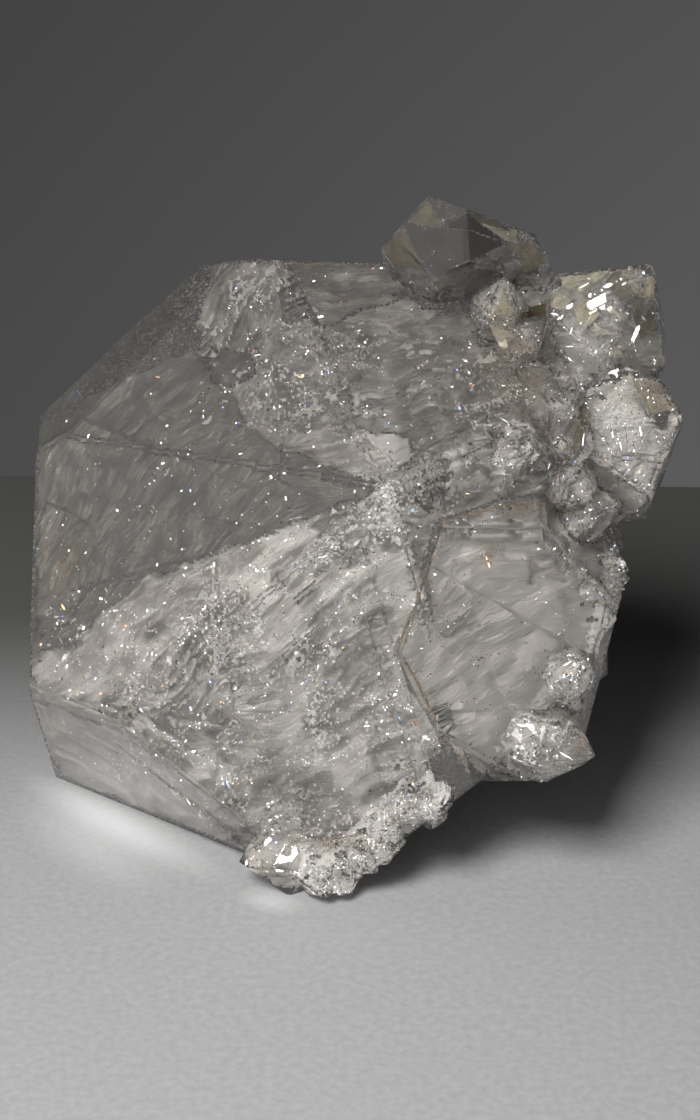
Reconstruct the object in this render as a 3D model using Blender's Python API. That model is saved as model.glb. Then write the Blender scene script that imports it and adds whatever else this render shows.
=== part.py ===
"""Herkimer diamond cluster.

One large, milky quartz crystal lies on one of its faces.  Clear and smoky quartz crystals have
grown into its right side and top, and small druse crystals line two of its edges.  They all
overlap and have grown together, so the cluster is one solid.

The shapes are built in millimetres and turned into metres when their meshes are made.  +Z is up,
+X is right and +Y is away from the front.  The origin is on the plane that the cluster rests on,
under the middle of its box.  A direction is (azimuth, elevation) in degrees: azimuth 0 faces the
front (-Y) and 90 faces right (+X).  A crystal is a list of faces, and a face is the direction it
faces with its distance from the crystal's centre.
"""
import math
import random

import bmesh
import bpy
from mathutils import Vector

MM = 0.001
# The middle of the cluster's box on the resting plane, as the places below are given.
BASE_CENTRE = Vector((-2.53, 14.01, 0.0))

# Quartz: how far a pyramid face's normal leans from the crystal's long axis.
PYRAMID_LEAN = math.radians(51.787)
BLANK_SIZE = 400.0

# The large milky crystal, which lies on one of its faces.
MAIN_CENTRE = Vector((-6.0, 12.0, 42.0))
MAIN_FACES = {
    "front": (-5.0, -8.0, 32.5),
    "left_front": (-34.5, 21.0, 30.5),
    "upper_front": (-36.0, 48.0, 32.0),
    "top_front": (16.5, 63.5, 36.5),
    "right_front": (37.5, 4.0, 37.5),
    "upper_left": (-68.5, 50.5, 37.5),
    "left": (-81.0, 5.5, 41.0),
    "left_low": (-81.0, -5.0, 44.0),
    "lower_left": (-37.5, -34.5, 40.0),
    "right_under": (59.0, -43.5, 42.0),
    "right": (98.0, 4.0, 40.0),
    "top": (174.5, 76.0, 43.0),
    "back_upper_left": (-125.0, 38.0, 42.5),
    "back": (168.0, 14.0, 30.0),
    "back_left": (-142.0, 18.0, 35.0),
    "back_right": (128.0, -16.0, 35.0),
    "under_left": (-140.0, -42.0, 54.0),
    "under_back": (176.0, -40.0, 44.0),
    "base": (0.0, -90.0, 42.0),
}
# Growth steps on the large crystal: how many on each face, and how far in the first one starts.
MAIN_STEPS = (
    ("front", 2, 2.5),
    ("left_front", 2, 2.5),
    ("upper_front", 2, 2.0),
    ("top_front", 2, 2.0),
    ("lower_left", 2, 1.0),
    ("left", 1, 2.0),
    ("right", 1, 4.0),
    ("top", 2, 2.0),
    ("back", 2, 2.0),
    ("back_upper_left", 1, 2.0),
    ("back_left", 2, 2.0),
    ("back_right", 2, 2.0),
    ("right_under", 1, 2.0),
)

# The clear crystal that leans on the large one's lower right.
SIDE_CENTRE = Vector((23.0, -6.0, 35.0))
SIDE_FACES = {
    "front": (12.0, 2.0, 13.6),
    "left": (-75.0, 19.5, 20.9),
    "lower_left": (-60.0, -23.5, 18.7),
    "bottom_left": (-30.0, -43.0, 18.7),
    "bottom": (40.0, -68.0, 18.5),
    "right": (84.0, -12.0, 12.7),
    "right_bevel": (58.0, -6.0, 14.4),
    "upper_right": (72.0, 38.0, 17.9),
    "top": (23.5, 68.5, 24.3),
    "back": (-168.0, -10.0, 30.5),
    "back_right": (128.0, 8.0, 21.0),
}
SIDE_STEPS = (
    ("front", 2, 3.0),
    ("right", 1, 2.0),
    ("back_right", 1, 2.0),
)
STEP_RISE = 0.25
STEP_INSET = 2.4
STEP_LEAN = 0.012

# Grown-in quartz crystals: centre, axis direction, turn about the axis, width across the prism,
# length from tip to tip, how far the alternate pyramid faces are set back (1 is not at all).
GROWN_IN = {
    "smoky": ((17.3, 18.8, 84.9), (-45.5, 19.0), 22.5, 13.4, 36.7, 0.92),
    "smoky_foot": ((20.9, 5.5, 80.0), (10.0, 62.0), 12.0, 7.0, 13.0, 0.96),
    "upper_clear": ((35.3, 10.7, 74.5), (44.0, 53.5), 13.5, 18.0, 31.0, 0.98),
    "right_clear": ((37.3, -0.2, 62.0), (-54.0, 13.5), 51.0, 21.0, 28.0, 0.87),
    "front_low": ((21.3, -8.8, 63.0), (20.0, 25.0), 35.0, 12.0, 20.0, 0.94),
    "front_high": ((23.8, -1.5, 70.0), (-20.0, 40.0), 5.0, 9.0, 15.0, 0.95),
    "side_lump": ((29.4, -18.6, 35.0), (-70.0, 30.0), 20.0, 7.2, 11.5, 0.93),
    "side_foot": ((26.0, -17.8, 25.5), (65.0, -8.0), 40.0, 10.4, 18.0, 0.93),
    "front_foot": ((-9.5, -12.5, 4.5), (-52.0, 8.0), 32.0, 12.0, 17.0, 0.95),
    "front_tip": ((-4.0, -17.3, 3.4), (5.0, -10.0), 25.0, 6.0, 9.5, 0.95),
}

# Growth steps on the faces of a grown-in crystal that look to the front: how many, how far in the
# first one starts, how much further each next one does, and how much each one rises.
GROWN_IN_STEPS = {
    "upper_clear": (2, 0.9, 1.1, 0.35),
    "right_clear": (2, 1.0, 1.2, 0.35),
    "side_foot": (1, 0.7, 0.8, 0.25),
}
# The side that they look to, and how squarely (1 is straight at it).
STEPPED_SIDE = (0.0, 20.0)
STEPPED_SQUARELY = 0.55

# Druse: how much longer than wide its crystals are, and for each row of them the line that it
# follows, how many crystals, their widths, and the scatter about the line.
DRUSE_SLIMNESS = (1.4, 1.8)
DRUSE = {
    "bottom": (
        ((-4.4, -18.6, 2.9), (-0.9, -17.2, 4.6), (3.0, -17.4, 8.0), (7.0, -18.4, 12.8), (12.5, -19.6, 18.0)),
        24, (2.4, 5.0), 1.1,
    ),
    "right": (
        ((35.0, -4.5, 51.3), (36.4, -6.7, 47.3), (34.9, -13.5, 46.1), (34.4, -15.8, 42.3)),
        26, (1.8, 3.6), 0.9,
    ),
    "seam": (
        ((24.5, 3.0, 77.0), (28.5, -5.0, 69.0), (30.0, -10.0, 61.0), (32.5, -8.0, 54.0)),
        6, (5.5, 8.0), 0.8,
    ),
}


def direction(azimuth, elevation):
    """The unit vector that faces an azimuth and elevation given in degrees."""
    azimuth = math.radians(azimuth)
    elevation = math.radians(elevation)
    level = math.cos(elevation)
    return Vector((math.sin(azimuth) * level, -math.cos(azimuth) * level, math.sin(elevation)))


def named_faces(faces):
    """Faces given by name as a dictionary of (normal, distance)."""
    return {name: (direction(azimuth, elevation), distance)
            for name, (azimuth, elevation, distance) in faces.items()}


def quartz_faces(axis, turn, width, length, alternate):
    """The 18 faces of a doubly terminated quartz crystal: a six-sided prism and two pyramids."""
    reference = Vector((0, 0, 1))
    across = reference.cross(axis).normalized()
    upright = axis.cross(across)
    pyramid_distance = length / 2 * math.cos(PYRAMID_LEAN)
    faces = {}
    for side in range(6):
        angle = math.radians(turn + 60 * side)
        outward = across * math.cos(angle) + upright * math.sin(angle)
        faces[f"prism{side}"] = (outward, width / 2)
        for end in (1, -1):
            set_back = alternate if (side % 2 == 0) == (end == 1) else 2 - alternate
            normal = axis * end * math.cos(PYRAMID_LEAN) + outward * math.sin(PYRAMID_LEAN)
            faces[f"pyramid{side}_{end}"] = (normal, pyramid_distance * set_back)
    return faces


def growth_step(faces, name, rise, inset, lean, rng):
    """The same crystal with one face raised and the others drawn in, which leaves a low terrace."""
    stepped = {}
    for other, (normal, distance) in faces.items():
        stepped[other] = (normal, distance - inset * rng.uniform(0.5, 2.2))
    normal, distance = faces[name]
    sway = Vector([rng.uniform(-lean, lean) for _ in range(3)])
    stepped[name] = ((normal + sway).normalized(), distance + rise)
    return stepped


def convex_mesh(name, centre, faces):
    """A closed mesh of the space inside all the faces, in metres."""
    mesh_builder = bmesh.new()
    bmesh.ops.create_cube(mesh_builder, size=BLANK_SIZE)
    for normal, distance in faces.values():
        geometry = mesh_builder.verts[:] + mesh_builder.edges[:] + mesh_builder.faces[:]
        cut = bmesh.ops.bisect_plane(
            mesh_builder, geom=geometry, dist=1e-4, plane_co=normal * distance, plane_no=normal,
            clear_outer=True)
        rim = [item for item in cut["geom_cut"] if isinstance(item, bmesh.types.BMEdge)]
        if rim:
            bmesh.ops.contextual_create(mesh_builder, geom=rim)
    bmesh.ops.translate(mesh_builder, verts=mesh_builder.verts, vec=centre - BASE_CENTRE)
    bmesh.ops.scale(mesh_builder, verts=mesh_builder.verts, vec=(MM, MM, MM))
    bmesh.ops.recalc_face_normals(mesh_builder, faces=mesh_builder.faces)
    mesh = bpy.data.meshes.new(name)
    mesh_builder.to_mesh(mesh)
    mesh_builder.free()
    return mesh


def add_object(name, mesh, collection):
    """Put a mesh into the scene as an object."""
    added = bpy.data.objects.new(name, mesh)
    collection.objects.link(added)
    return added


def add_helper(name, centre, faces, collection):
    """A solid that a Boolean uses: drawn as wire and never rendered."""
    helper = add_object(name, convex_mesh(name, centre, faces), collection)
    helper.hide_render = True
    helper.display_type = "WIRE"
    return helper


def add_steps(name, centre, faces, steps, next_inset, rise, rng, collection):
    """Terraces of growth on the named faces, each a little higher and smaller than the last."""
    for face, count, first_inset in steps:
        for level in range(count):
            inset = first_inset + next_inset * level
            stepped = growth_step(faces, face, rise * (level + 1), inset, STEP_LEAN, rng)
            add_helper(f"{name}_{face}_step{level}", centre, stepped, collection)


def random_axis(rng):
    """A direction with no preference."""
    return Vector([rng.gauss(0, 1) for _ in range(3)]).normalized()


def point_along(line, share):
    """The point a share of the way along a line of straight runs."""
    place = share * (len(line) - 1)
    run = min(int(place), len(line) - 2)
    return Vector(line[run]).lerp(Vector(line[run + 1]), place - run)


def add_druse(name, line, count, widths, scatter, rng, collection):
    """Small crystals of mixed size and direction along a line."""
    for number in range(count):
        share = (number + rng.uniform(0.2, 0.8)) / count
        offset = Vector([rng.uniform(-scatter, scatter) for _ in range(3)])
        width = rng.uniform(*widths)
        length = width * rng.uniform(*DRUSE_SLIMNESS)
        faces = quartz_faces(random_axis(rng), rng.uniform(0, 60), width, length, rng.uniform(0.88, 1))
        centre = point_along(line, share) + offset
        centre.z = max(centre.z, width / 2)
        add_helper(f"{name}_druse{number}", centre, faces, collection)


def crystal_material():
    """Warm grey, clear quartz."""
    material = bpy.data.materials.new("quartz")
    material.use_nodes = True
    shader = material.node_tree.nodes["Principled BSDF"]
    shader.inputs["Base Color"].default_value = (0.80, 0.78, 0.75, 1.0)
    shader.inputs["Roughness"].default_value = 0.08
    shader.inputs["Metallic"].default_value = 0.0
    shader.inputs["IOR"].default_value = 1.544
    shader.inputs["Transmission Weight"].default_value = 0.6
    material.diffuse_color = (0.80, 0.78, 0.75, 1.0)
    return material


def add_boolean(target, name, operation, collection):
    """A Boolean of the target with every solid of a collection."""
    boolean = target.modifiers.new(name, "BOOLEAN")
    boolean.operation = operation
    boolean.solver = "EXACT"
    boolean.operand_type = "COLLECTION"
    boolean.collection = collection


def new_collection(name):
    """A collection in the scene."""
    collection = bpy.data.collections.new(name)
    bpy.context.scene.collection.children.link(collection)
    return collection


def build():
    """Make the cluster."""
    for leftover in list(bpy.data.objects):
        bpy.data.objects.remove(leftover)
    rng = random.Random(7)
    step_rng = random.Random(11)
    grown = new_collection("grown_together")
    floor = new_collection("below_rest_plane")

    main_faces = named_faces(MAIN_FACES)
    cluster_mesh = convex_mesh("crystal_cluster", MAIN_CENTRE, main_faces)
    cluster = add_object("crystal_cluster", cluster_mesh, bpy.context.scene.collection)
    cluster.data.materials.append(crystal_material())
    add_steps("main", MAIN_CENTRE, main_faces, MAIN_STEPS, STEP_INSET, STEP_RISE, rng, grown)

    side_faces = named_faces(SIDE_FACES)
    add_helper("side", SIDE_CENTRE, side_faces, grown)
    add_steps("side", SIDE_CENTRE, side_faces, SIDE_STEPS, STEP_INSET, STEP_RISE, rng, grown)

    for name, (centre, axis, turn, width, length, alternate) in GROWN_IN.items():
        faces = quartz_faces(direction(*axis), turn, width, length, alternate)
        add_helper(name, Vector(centre), faces, grown)
        if name in GROWN_IN_STEPS:
            count, first_inset, next_inset, rise = GROWN_IN_STEPS[name]
            steps = [
                (face, count, first_inset) for face, (normal, _) in faces.items()
                if normal.dot(direction(*STEPPED_SIDE)) > STEPPED_SQUARELY
            ]
            add_steps(name, Vector(centre), faces, steps, next_inset, rise, step_rng, grown)
    for name, (line, count, widths, scatter) in DRUSE.items():
        add_druse(name, line, count, widths, scatter, rng, grown)

    below = {"up": (Vector((0, 0, 1)), 0.0), "down": (Vector((0, 0, -1)), 60.0)}
    add_helper("below", Vector((0, 0, 0)), below, floor)
    add_boolean(cluster, "grown_in_crystals", "UNION", grown)
    add_boolean(cluster, "flat_under", "DIFFERENCE", floor)


build()
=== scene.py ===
"""Looks of the Herkimer diamond cluster.

The CAD solid is the clear quartz.  In it are the fractures that make it milky and glittering:
rippled veils, thin ribbons and plates, fine flakes, mirror-like glints, a few of them blue or
orange, and brown clay along the seams where crystals meet.

Tables hold millimetres in the CAD's frame or pixels of the 700 x 1120 photograph.  What belongs to
a pixel lies on the pixel's refracted ray, at the depth given, so it sits inside the quartz where
the photograph shows it.
"""

import math

import bpy
import numpy as np
from mathutils import Matrix, Vector, noise
from mathutils.bvhtree import BVHTree


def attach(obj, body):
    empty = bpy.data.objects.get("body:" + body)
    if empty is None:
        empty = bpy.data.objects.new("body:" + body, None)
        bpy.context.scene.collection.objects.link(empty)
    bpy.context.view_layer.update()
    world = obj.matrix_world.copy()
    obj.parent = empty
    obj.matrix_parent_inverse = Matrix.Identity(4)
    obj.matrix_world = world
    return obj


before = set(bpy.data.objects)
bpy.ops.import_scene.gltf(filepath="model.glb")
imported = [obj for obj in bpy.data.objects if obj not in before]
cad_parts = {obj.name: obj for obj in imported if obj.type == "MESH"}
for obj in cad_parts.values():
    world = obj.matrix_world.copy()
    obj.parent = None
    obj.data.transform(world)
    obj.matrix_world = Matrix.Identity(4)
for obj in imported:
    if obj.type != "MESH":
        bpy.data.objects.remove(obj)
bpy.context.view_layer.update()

MM = 0.001
BODY = "root"
CLUSTER = "crystal_cluster"

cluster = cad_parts[CLUSTER]
quartz_tree = BVHTree.FromPolygons(
    [vertex.co.copy() for vertex in cluster.data.vertices],
    [tuple(polygon.vertices) for polygon in cluster.data.polygons],
)
random_numbers = np.random.default_rng(41)

# ---- camera, light and floor

PHOTO_WIDTH = 700
PHOTO_HEIGHT = 1120
FOCAL_PIXELS = 1700.0
SENSOR_HEIGHT = 36.0
CAMERA_PITCH = math.radians(20.0)
CAMERA_DISTANCE = 245.0 * MM
LOOK_AT = Vector((2.53, -14.01, 45.0)) * MM
FORWARD = Vector((0, math.cos(CAMERA_PITCH), -math.sin(CAMERA_PITCH)))
UPWARD = Vector((0, math.sin(CAMERA_PITCH), math.cos(CAMERA_PITCH)))
RIGHTWARD = Vector((1, 0, 0))
CAMERA_PLACE = LOOK_AT - FORWARD * CAMERA_DISTANCE
# How many millimetres one pixel spans at the cluster.
PIXEL_SPAN = CAMERA_DISTANCE / MM / FOCAL_PIXELS

# Lamps: where they are and what they light, in metres, their size, watts and colour.
KEY_PLACE = Vector((-0.17, -0.41, 0.45))
KEY_AIM = Vector((0.0, -0.03, 0.03))
BOUNCE_PLACE = Vector((-0.26, -0.34, 0.07))
BOUNCE_AIM = Vector((-0.02, -0.03, 0.03))
LAMPS = {
    "key": (KEY_PLACE, KEY_AIM, (0.2, 0.2), 5.6, (1.0, 0.99, 0.975)),
    "bounce": (BOUNCE_PLACE, BOUNCE_AIM, (0.24, 0.1), 0.7, (1.0, 1.0, 1.0)),
}
TOWARD_CAMERA = -FORWARD
TOWARD_KEY = (KEY_PLACE - KEY_AIM).normalized()

# The floor, in metres: half its width, where it ends and how that end is turned, and from where
# to where painted shade darkens it, standing in for the lamp's light falling off.
FLOOR_HALF = 1.2
FLOOR_BACK = 0.168
FLOOR_TURN = math.radians(-3.2)
FLOOR_PAINTED_SHADE = (-0.02, 0.085)
# Shades of the paper, as (place in the noise, colour), and the painted shade's colour towards the wall.
FLOOR_SHADES = ((0.3, (150, 150, 151)), (0.7, (161, 161, 162)))
FLOOR_PAINTED_SHADE_COLOUR = (78, 78, 77)
# Painted light: where the quartz gathers light on the floor, painted into the paper's colour:
# pixels from and to, half width in mm, strength.
PAINTED_FLOOR_CAUSTICS = (
    ((10, 765), (240, 890), 6.0, 0.4),
    ((20, 775), (170, 905), 10.0, 0.22),
    ((230, 890), (310, 912), 4.0, 0.25),
)
PAINTED_CAUSTIC_COLOUR = (238, 240, 242)
# How light the room is by the height looked at: (0 is straight down and 1 straight up, value),
# and its share from left to right: ways looked at, from and to, and shares, from and to.
WALL_STOPS = ((0.0, 0.05), (0.35, 0.092), (0.49, 0.07), (0.65, 0.042), (1.0, 0.038))
WALL_SIDE = (-0.25, 0.25, 0.74, 1.2)

# ---- quartz

QUARTZ_IOR = 1.544
QUARTZ_TINT = (0.965, 0.955, 0.94, 1)
QUARTZ_TRANSMISSION = 0.96
QUARTZ_ROUGHNESS = (0.0, 0.06)
QUARTZ_NOISE = 160.0
# Where the surface is broken into small growth facets: centre, radius, how strong, and over how
# many millimetres that fades.
FACETED = (
    ((38.0, -3.0, 75.0), 15.0, 0.95),
    ((39.0, -14.0, 62.0), 13.0, 0.6),
    ((32.0, -33.0, 35.0), 6.0, 0.9),
    ((29.0, -34.0, 25.0), 9.0, 0.9),
    ((26.0, -12.0, 72.0), 10.0, 0.6),
    ((-6.0, -30.0, 4.0), 9.0, 0.7),
    ((6.0, -33.0, 10.0), 10.0, 0.7),
)
REGION_EDGE = 2.5
# The facets' sizes in millimetres, how much the fine ones add, and the slopes they are tilted by.
MOSAIC_CELL = 2.6
FINE_MOSAIC_CELL = 1.1
FINE_MOSAIC_SHARE = 0.5
MOSAIC_SLOPE = 0.5
PLAIN_SLOPE = 0.03
# The scale, per metre, of the noise in the flakes' shades.
FLAKE_NOISE = 700.0
# Between these two values lies most of a noise.
NOISE_MIDDLE = (0.35, 0.65)
# How far behind a surface a ray goes on, in metres, and how near the quartz's far side, in
# millimetres, nothing is placed.
STEP_IN = 1e-5
FAR_MARGIN = 0.3
# The key light enters a face when the cosine between its direction and the normal is under this.
KEY_GRAZES = -0.1
# Keeps a division by a length of zero from failing.
TINY = 1e-9

# ---- tables of the photograph

# The large crystal as the photograph shows it, in pixels.
MAIN_OUTLINE = (
    (207, 264), (385, 262), (440, 290), (500, 330), (553, 434), (555, 500), (443, 520), (398, 652),
    (425, 695), (440, 740), (425, 800), (390, 845), (320, 884), (250, 874), (205, 836), (56, 775),
    (29, 690), (37, 430), (110, 340),
)
SIDE_OUTLINE = (
    (443, 520), (555, 500), (600, 520), (622, 590), (600, 755), (585, 790), (500, 785), (440, 740),
    (425, 695), (396, 652),
)
# Zones of the photograph: how dense the fractures are, how light and how grainy, each from 0 to 1.
# Later zones are painted over earlier ones.
ZONES = {
    "whole": (MAIN_OUTLINE, 0.75, 0.37, 0.75),
    "upper_left_window": (((36, 430), (110, 335), (207, 262), (212, 300), (197, 345), (122, 380),
        (62, 428)), 0.15, 0.1, 0.4),
    "left": (((36, 430), (122, 380), (195, 348), (262, 440), (385, 488), (147, 580), (60, 645),
        (29, 655)), 0.92, 0.07, 0.2),
    "left_shadow": (((40, 500), (88, 520), (95, 560), (75, 620), (32, 640)), 0.8, 0.08, 0.4),
    "front": (((388, 488), (147, 580), (100, 650), (120, 724), (205, 836), (400, 840), (440, 740),
        (396, 652), (443, 520)), 0.95, 0.64, 1.0),
    "front_left": (((147, 580), (250, 545), (240, 652), (133, 718), (29, 697), (29, 655), (60, 645)),
        0.9, 0.58, 0.9),
    "tongue": (((212, 262), (258, 262), (272, 300), (262, 345), (205, 350), (194, 320)), 0.7, 0.3, 1.0),
    "top_window": (((275, 262), (385, 262), (420, 290), (330, 325), (285, 320)), 0.45, 0.2, 0.6),
    "dark_round_facet": (((207, 352), (250, 348), (256, 372), (232, 388), (208, 380)), 0.4, 0.12, 0.4),
    "pale_facet": (((362, 430), (410, 434), (414, 466), (372, 470)), 0.95, 0.8, 0.3),
    "middle": (((260, 430), (362, 430), (443, 510), (385, 488)), 0.85, 0.5, 0.8),
    "low_window": (((245, 842), (300, 838), (345, 872), (300, 890), (250, 872)), 0.3, 0.3, 0.5),
    "left_strip": (((34, 722), (60, 735), (66, 776), (50, 772)), 0.25, 0.5, 0.4),
    # The foot is lighter than its milkiness alone: partly painted light, standing in for the pale
    # floor's light below it.
    "foot": (((29, 697), (75, 716), (140, 743), (205, 836), (62, 776)), 0.8, 0.72, 0.9),
    "side": (SIDE_OUTLINE, 0.85, 0.61, 0.1),
    "bevel": (((602, 560), (622, 590), (606, 750), (592, 752), (588, 640)), 0.9, 0.85, 0.1),
    "side_dark": (((430, 590), (470, 585), (482, 625), (455, 640), (425, 625)), 0.8, 0.5, 0.4),
    "side_dark_high": (((528, 558), (562, 556), (566, 584), (530, 586)), 0.8, 0.5, 0.4),
    "corner": (((456, 431), (485, 417), (552, 434), (555, 498), (500, 500), (440, 516)), 0.75, 0.7,
        1.0),
}
# The same for the small crystals, whose fractures lie nearer their surface.
SMALL_ZONES = {
    "smoky": (((382, 248), (430, 196), (530, 230), (553, 262), (520, 300), (440, 283)), 0.25, 0.1, 0.5),
    "smoky_low": (((436, 280), (465, 266), (505, 250), (550, 262), (525, 292), (478, 304)), 0.8, 0.42,
        0.7),
    "between": (((478, 300), (553, 270), (560, 300), (545, 380), (600, 400), (612, 470), (600, 520),
        (556, 505), (540, 430), (505, 350)), 0.95, 0.5, 0.7),
    "upper_clear": (((545, 290), (613, 268), (655, 270), (668, 370), (626, 373), (580, 392),
        (540, 372)), 0.9, 0.55, 0.55),
    "right_clear": (((565, 420), (590, 392), (628, 372), (667, 384), (681, 415), (655, 482), (630, 520),
        (588, 520), (560, 470)), 0.8, 0.66, 0.9),
    "right_clear_middle": (((588, 398), (630, 390), (647, 415), (647, 457), (630, 473), (597, 461),
        (580, 440)), 1.0, 0.66, 1.0),
    "front_foot": (((236, 836), (300, 834), (345, 868), (300, 890), (250, 874)), 0.7, 0.62, 0.8),
    "right_druse": (((548, 500), (600, 515), (624, 520), (622, 604), (580, 604), (570, 560)), 1.0, 0.8,
        1.0),
    "lump": (((545, 655), (580, 642), (600, 680), (580, 712), (550, 700)), 1.0, 0.78, 1.0),
    "side_foot": (((500, 730), (530, 712), (595, 740), (580, 792), (510, 785)), 0.9, 0.66, 1.0),
    "bottom_druse": (((300, 842), (345, 830), (430, 772), (460, 785), (400, 862), (345, 905),
        (300, 890)), 1.0, 1.0, 1.0),
}
# Inner facets and growth layers of the clear crystals: corner pixels, how light from 0 to 1. That
# lightness is painted reflection and shade, how each facet looks under this light, with some of the
# smoky crystal's own brown.
INNER_FACETS = (
    (((403, 225), (463, 230), (505, 244), (465, 266), (440, 280), (415, 261)), 0.0),
    (((382, 248), (403, 227), (415, 261), (426, 270), (392, 264)), 0.3),
    (((407, 222), (427, 199), (442, 229)), 0.3),
    (((447, 227), (465, 214), (501, 240)), 0.08),
    (((468, 213), (500, 222), (512, 232), (478, 222)), 0.22),
    (((478, 221), (517, 230), (515, 243), (505, 240)), 0.8),
    (((505, 246), (528, 240), (548, 262), (524, 272), (524, 256)), 0.42),
    (((503, 288), (524, 292), (517, 318), (495, 314)), 0.6),
    (((489, 324), (515, 336), (503, 350)), 0.8),
    (((523, 312), (545, 300), (543, 327), (538, 357), (521, 357)), 0.2),
    (((559, 277), (609, 271), (601, 280), (580, 292), (563, 288)), 0.8),
    (((620, 271), (647, 266), (655, 277), (658, 300), (638, 298)), 0.55),
    (((612, 273), (620, 271), (636, 298), (625, 304), (606, 282)), 0.35),
    (((553, 292), (572, 300), (565, 311), (553, 307)), 0.8),
    (((572, 305), (590, 298), (600, 315), (584, 330)), 0.4),
    (((628, 303), (650, 304), (660, 330), (640, 338)), 0.3),
    (((605, 309), (613, 307), (624, 317), (620, 321)), 0.8),
    (((592, 321), (605, 330), (615, 334), (597, 334)), 0.8),
    (((613, 344), (624, 357), (613, 357)), 0.8),
    (((628, 373), (667, 384), (678, 409), (647, 413), (638, 390)), 0.6),
    (((647, 415), (670, 411), (667, 427), (662, 430)), 0.0),
    (((667, 436), (679, 423), (672, 448), (658, 477)), 0.85),
    (((568, 425), (586, 400), (590, 415), (578, 450), (566, 450)), 0.35),
)
# The shades of flakes and veils and the painted shades of inner facets (painted reflection and
# shade), from the dimmest level to the lightest, and the share of its shade that a flake or a facet
# has where it is dimmest.
LEVEL_SHADES = ((76, 72, 68), (118, 113, 107), (160, 155, 149), (203, 199, 193), (250, 247, 243))
LEVELS = len(LEVEL_SHADES)
FACET_PAINTED_SHADES = ((50, 48, 44), (112, 102, 82), (168, 157, 130), (206, 198, 176), (250, 246, 234))
HAZE_DIMMER = 0.92
FACET_DIMMER = 0.8
# Bright cleavage cracks: x and y of both ends, and the width, in pixels.
CRACKS = (
    (430, 205, 436, 223, 1.6), (452, 262, 458, 240, 1.0), (511, 256, 524, 268, 9.0),
    (480, 224, 514, 236, 3.0), (537, 236, 540, 247, 2.0), (524, 315, 536, 302, 2.0),
    (549, 313, 561, 315, 2.6), (549, 316, 546, 329, 4.0), (545, 330, 551, 337, 2.0),
    (553, 296, 566, 300, 4.0), (562, 287, 606, 273, 3.0), (575, 290, 590, 283, 2.5),
    (607, 309, 622, 319, 5.0), (594, 323, 610, 332, 4.5), (578, 325, 592, 320, 1.6),
    (613, 347, 622, 356, 5.0), (565, 347, 580, 346, 2.2), (563, 355, 574, 362, 2.4),
    (578, 361, 584, 350, 2.0), (545, 370, 559, 370, 2.6), (586, 347, 591, 353, 1.6),
    (634, 344, 638, 361, 2.2), (639, 312, 646, 322, 3.5), (653, 352, 656, 370, 1.8),
    (570, 336, 573, 326, 1.6), (600, 350, 606, 341, 1.4), (588, 400, 606, 420, 1.4),
    (596, 432, 612, 450, 3.0), (612, 428, 614, 446, 1.6), (618, 432, 622, 452, 1.6),
    (626, 430, 628, 452, 2.2), (632, 436, 636, 456, 2.0), (639, 420, 643, 446, 1.6),
    (608, 456, 632, 462, 1.6), (606, 462, 630, 468, 1.4), (581, 452, 585, 432, 1.6),
    (645, 460, 650, 476, 2.4), (666, 440, 672, 430, 2.4), (587, 402, 581, 424, 1.4),
    (590, 392, 598, 388, 2.0), (651, 396, 655, 397, 3.0), (526, 498, 540, 486, 3.0),
    (530, 490, 548, 478, 3.0), (537, 500, 546, 488, 2.4), (545, 473, 552, 462, 3.0),
    (499, 417, 512, 425, 1.8), (522, 424, 532, 430, 3.0), (551, 465, 554, 478, 2.4),
    (514, 494, 523, 497, 1.8), (604, 512, 626, 498, 2.2), (633, 506, 646, 492, 1.8),
    (596, 488, 610, 486, 1.6), (140, 757, 151, 767, 1.8), (150, 771, 166, 786, 2.0),
    (167, 787, 181, 800, 2.2), (181, 797, 196, 812, 2.6), (195, 808, 204, 822, 2.0),
    (172, 778, 184, 790, 1.6), (228, 773, 232, 787, 5.0), (208, 682, 213, 688, 5.0),
    (262, 812, 283, 817, 4.0), (266, 826, 281, 823, 3.0), (298, 613, 306, 611, 5.0),
    (58, 634, 64, 648, 3.5), (68, 628, 70, 645, 3.0), (74, 640, 78, 652, 2.5), (34, 676, 42, 684, 5.0),
    (104, 586, 108, 594, 5.0), (288, 520, 306, 516, 3.0), (352, 566, 366, 556, 2.5),
    (382, 540, 396, 530, 2.5), (470, 652, 476, 664, 3.0), (340, 686, 352, 680, 2.5),
    (560, 668, 574, 660, 2.5), (552, 690, 566, 696, 2.5), (575, 676, 580, 694, 2.5),
    (520, 742, 546, 730, 2.5), (530, 760, 552, 768, 2.5), (556, 748, 574, 762, 2.0),
)
# The cracks that shine blue or orange.
COLOURED_CRACKS = (
    (225, 776, 230, 790, 4.0, "blue"), (232, 778, 236, 788, 2.5, "orange"),
    (396, 712, 402, 722, 4.0, "blue"), (412, 718, 418, 728, 3.0, "orange"),
    (486, 556, 490, 568, 2.5, "orange"), (60, 602, 66, 612, 2.0, "orange"),
    (250, 420, 256, 428, 2.0, "blue"), (458, 405, 461, 411, 2.0, "blue"),
    (488, 470, 491, 477, 3.0, "orange"),
)
# The share of that width that is drawn, how far a crack strays from catching the key light, in
# radians or so, and from which width in millimetres it is silky, not mirror-like.
CRACK_WIDTH = 0.48
CRACK_SWAY = 0.07
SHEEN_FROM = 0.24
# Patches stained brown: the middle pixel, half width, half height, how many grains.
STAINS = (
    ((525, 375), 32, 48, 500),
    ((500, 345), 24, 24, 250),
    ((520, 508), 36, 10, 250),
    ((490, 555), 6, 8, 50),
    ((582, 745), 6, 8, 60),
    ((340, 842), 46, 9, 300),
    ((655, 388), 20, 14, 160),
    ((60, 560), 20, 40, 120),
)
# The brown, the most of it that a veil takes on, and how the patches' edges are broken up: the
# middle and (share, size in pixels, seed) of a noise.
STAIN_SHADE = (138, 122, 96)
STAIN_MOST = 0.55
STAIN_MIDDLE = 0.75
STAIN_EDGE = (0.9, 16, 91.5)
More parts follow.
